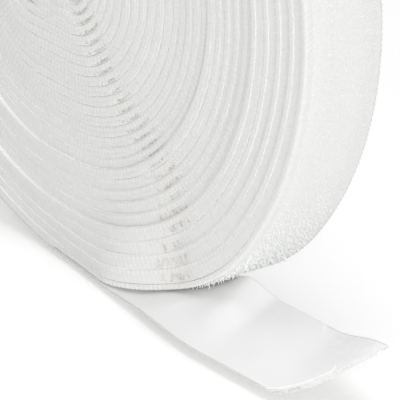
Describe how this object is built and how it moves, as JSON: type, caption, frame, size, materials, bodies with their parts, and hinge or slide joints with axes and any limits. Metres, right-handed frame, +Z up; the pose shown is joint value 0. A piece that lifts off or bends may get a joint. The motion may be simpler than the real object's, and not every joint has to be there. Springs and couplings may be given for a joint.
{
  "type": "hook and loop tape roll",
  "caption": "White self-adhesive hook tape wound without a core, standing on its rim, with a release liner between the turns and a twisted tail run out on the floor.",
  "frame": {"origin": "on the floor under the roll's axis, at the middle of the tape's width", "axes": "+Z up, +Y along the roll's axis away from the seen end face, +X the way the tail runs out"},
  "size_m": [0.1494, 0.0275, 0.1303],
  "materials": {
    "hook_tape": "woven white nylon with cut monofilament hooks",
    "release_liner": "satin white film"
  },
  "bodies": {
    "roll": {"hook_tape_winding": "hook_tape", "release_liner_winding": "release_liner"},
    "tail": {"hook_tape_tail": "hook_tape", "release_liner_tail": "release_liner"},
    "liner_end": {"release_liner_tab": "release_liner"}
  },
  "joints": [
    {"name": "tail_lift", "type": "hinge", "parent": "roll", "child": "tail", "pos_m": [0.04534, -0.00794, 0.00604], "axis": [0, -0.904, -0.4276], "range_deg": [0, 30]},
    {"name": "liner_peel", "type": "hinge", "parent": "tail", "child": "liner_end", "pos_m": [0.06034, -0.00846, 0.00556], "axis": [0, -0.927, -0.375], "range_deg": [0, 50]}
  ]
}
